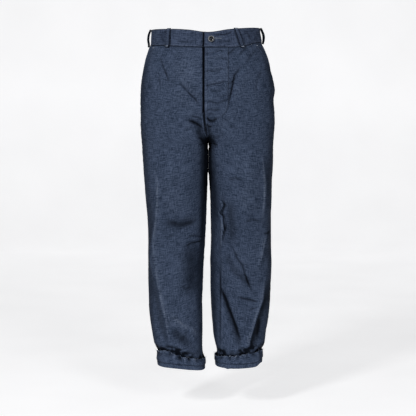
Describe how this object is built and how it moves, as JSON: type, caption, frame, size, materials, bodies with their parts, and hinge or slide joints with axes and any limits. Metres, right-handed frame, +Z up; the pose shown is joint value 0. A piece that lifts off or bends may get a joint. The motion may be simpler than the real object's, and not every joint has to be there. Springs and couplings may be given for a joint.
{
  "type": "trousers",
  "caption": "Straight cloth trousers in worn form, with a buttoned fly, slanted side pockets, belt loops and turned-up hems.",
  "frame": {"origin": "middle of the waist, on the line of the fly, halfway up the waistband", "axes": "+Z up along the legs towards the waist, the front faces -Y, +X is the wearer's left"},
  "size_m": [0.3753, 0.2515, 0.9567],
  "materials": {
    "cloth": "matt slubby plain weave, indigo navy",
    "band_cloth": "matt slubby plain weave, indigo navy, double layer",
    "button": "dark grey, glossy, dished"
  },
  "bodies": {
    "root": {"front_right": "cloth", "front_left": "cloth", "back_right": "cloth", "back_left": "cloth", "pocket_facing_right": "cloth", "pocket_facing_left": "cloth", "fly_button_stand": "cloth", "waistband": "band_cloth", "belt_loop_front_right": "band_cloth", "belt_loop_front_left": "band_cloth", "belt_loop_side_right": "band_cloth", "belt_loop_side_left": "band_cloth", "belt_loop_back": "band_cloth", "waist_button": "button"}
  },
  "joints": []
}
